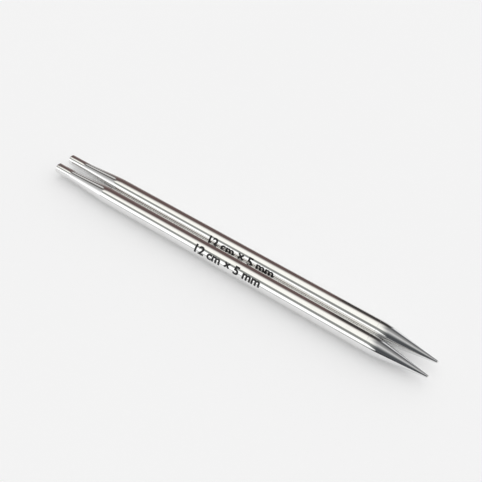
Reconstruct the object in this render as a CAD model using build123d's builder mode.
from build123d import *

import os
from math import cos, radians, sin, tan

# A matched pair of steel knitting needle tips, lying side by side on the plane z = 0.
# Each tip runs along X: its neck, with the thread for a cable, is at -X and its point at +X.
# The origin is under the middle of the pair.

# Driving dimensions, in millimetres and degrees.
tip_length = 120.0  # one tip, from the flat end of its neck to its point
shaft_radius = 2.5  # a 5.0 mm needle
wall = 0.35  # thickness of the steel tube
neck_radius = 1.575  # the tube is swaged down to this at its back end
neck_length = 6.5  # straight part of the neck
swage_length = 13.0  # taper between the neck and the shaft
swage_blend = 40.0  # radius where the taper meets the neck and the shaft
rim_round = 0.3  # rounding of the neck's outer rim
flank_angle = 9.0  # half angle of the point
shoulder_blend = 25.0  # radius where the point's flank meets the shaft
end_radius = 0.4  # rounding of the very end of the point
seam_margin = 0.5  # straight stretch of the point piece before its shoulder starts
spigot_length = 8.0  # part of the point piece that is pressed into the tube
spigot_chamfer = 0.3
thread_radius = 0.8  # minor radius of the M2 thread that takes the cable's screw
mouth_chamfer = 0.2  # countersink at the mouth of the thread
needle_gap = 0.08  # daylight between the two shafts
rear_offset = 0.3  # the rear tip lies this much further along +X

# Sizes that follow from them.
bore_radius = shaft_radius - wall
neck_bore_radius = neck_radius - wall
swage_end = neck_length + swage_length
end_tangent_x = tip_length - end_radius + end_radius * sin(radians(flank_angle))
end_tangent_y = end_radius * cos(radians(flank_angle))
shoulder_x = end_tangent_x - (shaft_radius - end_tangent_y) / tan(radians(flank_angle))
seam_x = shoulder_x - shoulder_blend * tan(radians(flank_angle / 2)) - seam_margin

# Name of each tip, with the position of its neck end along X and of its axis along Y.
tips = {
    "front": (-(tip_length + rear_offset) / 2, -(shaft_radius + needle_gap / 2)),
    "rear": (-(tip_length - rear_offset) / 2, shaft_radius + needle_gap / 2),
}


def profile_plane(neck_x, axis_y):
    """Plane of a half profile: its x runs from the neck end to the point, its y is the radius."""
    return Plane(origin=(neck_x, axis_y, shaft_radius), x_dir=(1, 0, 0), z_dir=(0, -1, 0))


def export_piece(builder, label):
    builder.part.label = label
    export_step(builder.part, f"parts/{label}.step")


def make_shaft(tip, neck_x, axis_y):
    """Steel tube, swaged down to the neck at its back end and open at both ends."""
    plane = profile_plane(neck_x, axis_y)
    with BuildPart() as shaft:
        with BuildSketch(plane):
            with BuildLine():
                outside = FilletPolyline(
                    (0, neck_bore_radius),
                    (0, neck_radius),
                    (neck_length, neck_radius),
                    (swage_end, shaft_radius),
                    (seam_x, shaft_radius),
                    radius=[rim_round, swage_blend, swage_blend],
                )
                inside = FilletPolyline(
                    (0, neck_bore_radius),
                    (neck_length, neck_bore_radius),
                    (swage_end, bore_radius),
                    (seam_x, bore_radius),
                    radius=[swage_blend, swage_blend],
                )
                Line(outside @ 1, inside @ 1)
            make_face()
        revolve(axis=Axis(plane.origin, plane.x_dir))
    export_piece(shaft, f"{tip}_shaft")


def make_point(tip, neck_x, axis_y):
    """Solid ground point, with the spigot that is pressed into the front of the tube."""
    plane = profile_plane(neck_x, axis_y)
    spigot_start = seam_x - spigot_length
    with BuildPart() as point:
        with BuildSketch(plane):
            with BuildLine():
                FilletPolyline(
                    (seam_x, bore_radius),
                    (seam_x, shaft_radius),
                    (shoulder_x, shaft_radius),
                    (end_tangent_x, end_tangent_y),
                    radius=[0, shoulder_blend],
                )
                CenterArc((tip_length - end_radius, 0), end_radius, 0, 90 - flank_angle)
                Polyline(
                    (tip_length, 0),
                    (spigot_start, 0),
                    (spigot_start, bore_radius),
                    (seam_x, bore_radius),
                )
            make_face()
        revolve(axis=Axis(plane.origin, plane.x_dir))
        spigot_end = point.edges().filter_by(GeomType.CIRCLE).group_by(Axis.X)[0]
        chamfer(spigot_end, spigot_chamfer)
    export_piece(point, f"{tip}_point")


def make_connector(tip, neck_x, axis_y):
    """Bush with a female thread, pressed into the neck flush with its end."""
    end_plane = Plane(origin=(neck_x, axis_y, shaft_radius), z_dir=(1, 0, 0))
    with BuildPart() as connector:
        with BuildSketch(end_plane):
            Circle(neck_bore_radius)
            Circle(thread_radius, mode=Mode.SUBTRACT)
        extrude(amount=neck_length)
        mouth = connector.edges().group_by(Axis.X)[0].sort_by(SortBy.RADIUS)[0]
        chamfer(mouth, mouth_chamfer)
    export_piece(connector, f"{tip}_connector")


os.makedirs("parts", exist_ok=True)
for tip, (neck_x, axis_y) in tips.items():
    make_shaft(tip, neck_x, axis_y)
    make_point(tip, neck_x, axis_y)
    make_connector(tip, neck_x, axis_y)
